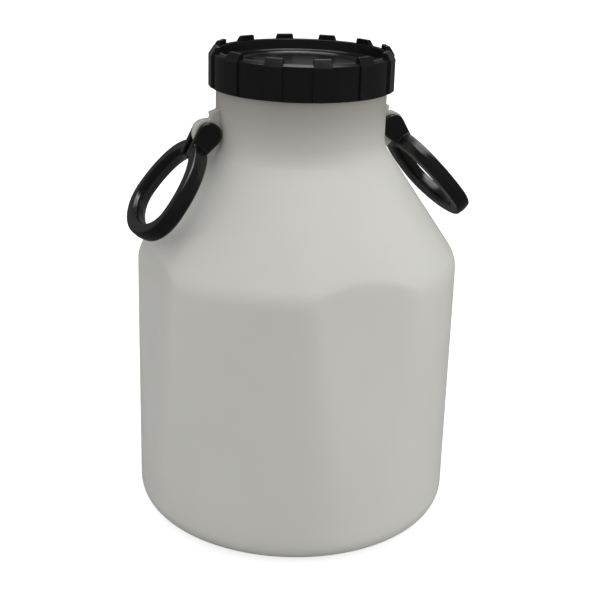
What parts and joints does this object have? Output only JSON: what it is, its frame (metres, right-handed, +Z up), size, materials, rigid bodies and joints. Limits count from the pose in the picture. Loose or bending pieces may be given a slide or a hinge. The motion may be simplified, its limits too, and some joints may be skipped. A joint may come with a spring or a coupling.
{
  "type": "wide-mouth jerrycan",
  "caption": "Upright round plastic can with sloping shoulders, flat label panels, a wide lugged screw cap and a hinged oval ring handle on each side of its neck.",
  "frame": {"origin": "centre of the flat base, on the surface the can stands on", "axes": "+Z up the can's axis to the cap, the hinge axes of the two ring handles run along Y at -X and +X, the front label panel is turned 5 degrees from -Y"},
  "size_m": [0.2497, 0.23, 0.3423],
  "materials": {
    "natural_plastic": "satin milky unpigmented polyethylene",
    "cap_plastic": "black, satin gloss, moulded",
    "handle_plastic": "black, satin gloss, moulded"
  },
  "bodies": {
    "can": {"body": "natural_plastic", "cap": "cap_plastic"},
    "left_ring": {"handle_left": "handle_plastic"},
    "right_ring": {"handle_right": "handle_plastic"}
  },
  "joints": [
    {"name": "left_ring_hinge", "type": "hinge", "parent": "can", "child": "left_ring", "pos_m": [-0.0684, 0, 0.2845], "axis": [0, 1, 0], "range_deg": [-5.5, 148.5]},
    {"name": "right_ring_hinge", "type": "hinge", "parent": "can", "child": "right_ring", "pos_m": [0.0684, 0, 0.2845], "axis": [0, -1, 0], "range_deg": [-9.2, 144.8]}
  ]
}
